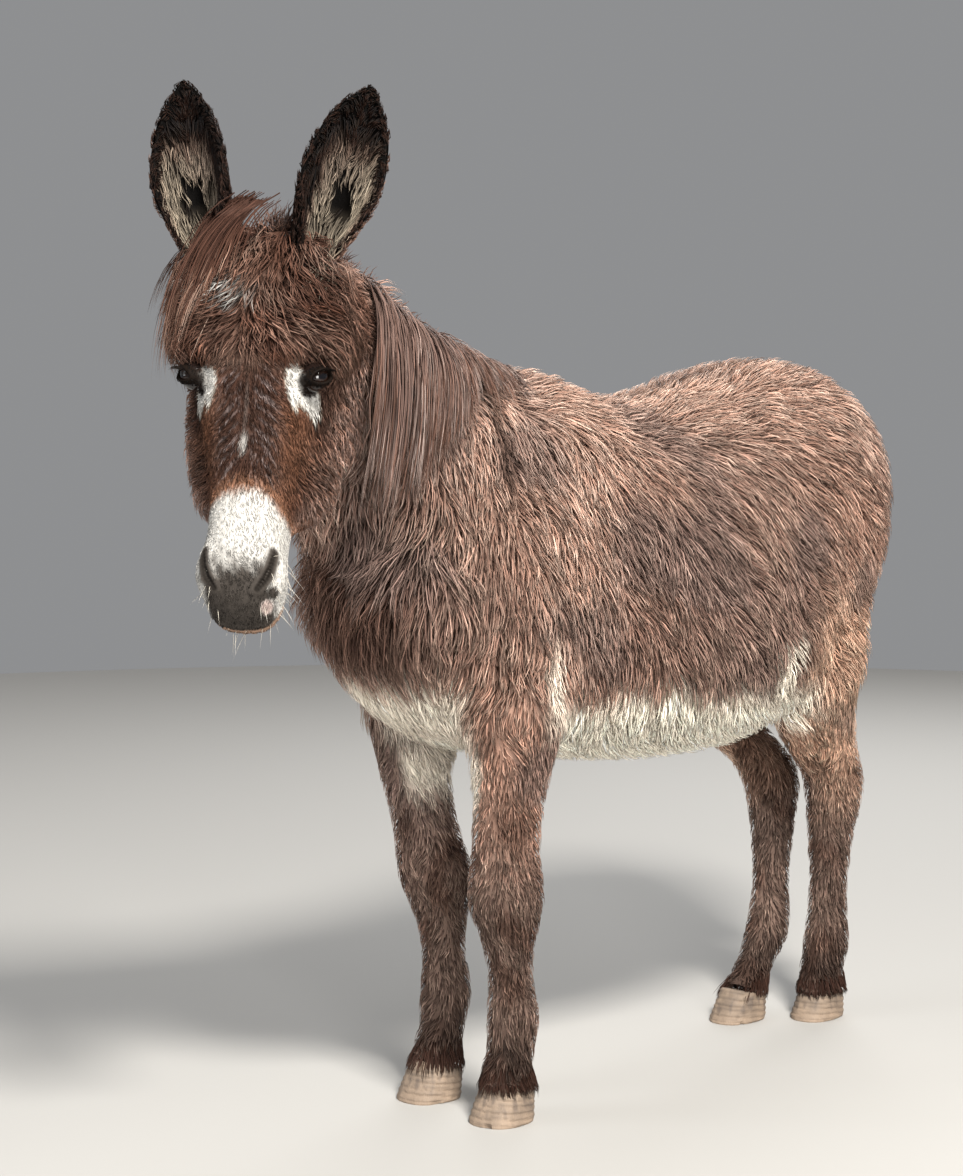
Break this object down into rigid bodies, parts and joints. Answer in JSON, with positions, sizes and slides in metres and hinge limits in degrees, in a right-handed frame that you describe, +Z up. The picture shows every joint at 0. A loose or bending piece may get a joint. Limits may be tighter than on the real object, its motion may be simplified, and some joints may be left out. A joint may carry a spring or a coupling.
{
  "type": "donkey",
  "caption": "Donkey standing in a shaggy brown winter coat with a pale muzzle and belly, head turned to its left, life-size still model.",
  "frame": {"origin": "middle of the bounding box on the floor, under the belly, between the four hooves", "axes": "+Z up; the donkey faces -Y with its rump at +Y; +X is its left side"},
  "size_m": [0.5292, 1.6576, 1.5446],
  "materials": {
    "coat": "shaggy winter hair, chocolate brown with sun-bleached tips, cream on the muzzle, belly and inner legs",
    "mane": "long straight dark brown hair with grey-brown highlights",
    "skin": "matte grey skin at the nostrils and lips, with short hair",
    "horn": "dry tan-grey hoof horn with growth rings",
    "eye": "wet dark brown eye"
  },
  "bodies": {
    "root": {"head": "coat", "ear_left": "coat", "ear_right": "coat", "eye_left": "eye", "eye_right": "eye", "neck": "coat", "mane": "mane", "trunk": "coat", "tail": "coat", "foreleg_left": "coat", "foreleg_right": "coat", "hind_leg_left": "coat", "hind_leg_right": "coat", "fore_hoof_left": "horn", "fore_hoof_right": "horn", "hind_hoof_left": "horn", "hind_hoof_right": "horn"}
  },
  "joints": []
}
